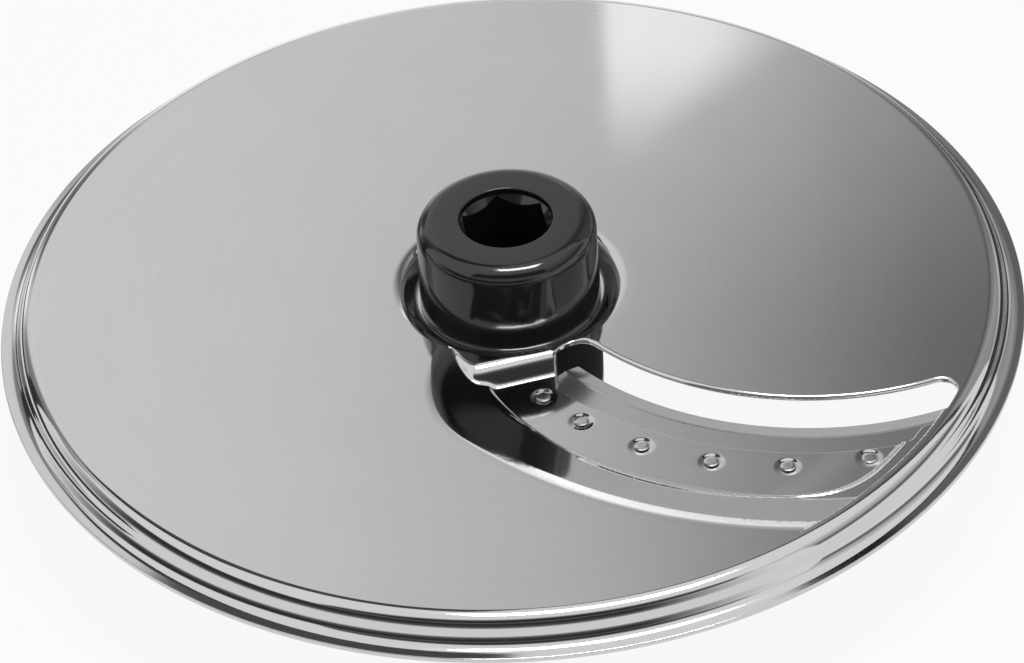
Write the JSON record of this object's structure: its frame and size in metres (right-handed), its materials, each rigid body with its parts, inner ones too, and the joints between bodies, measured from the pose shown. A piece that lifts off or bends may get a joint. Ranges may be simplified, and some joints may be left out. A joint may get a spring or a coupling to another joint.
{
  "type": "food processor slicing disc",
  "caption": "Pressed steel slicing disc with a stepped rim, a curved blade riveted under its slot and a black drive hub with a six-sided socket.",
  "frame": {"origin": "centre of the hub's flat foot, on the disc's axis", "axes": "+Z along the disc's axis towards the mouth of the drive socket, the blade in the quarter towards +X and -Y"},
  "size_m": [0.174, 0.174, 0.0392],
  "materials": {
    "plate_steel": "fine satin with a near-mirror sheen",
    "blade_steel": "fine ground",
    "rivet_steel": "bright",
    "hub_plastic": "glossy as moulded"
  },
  "bodies": {
    "root": {"disc_plate": "plate_steel", "slicing_blade": "blade_steel", "blade_rivets": "rivet_steel", "drive_hub": "hub_plastic"}
  },
  "joints": []
}
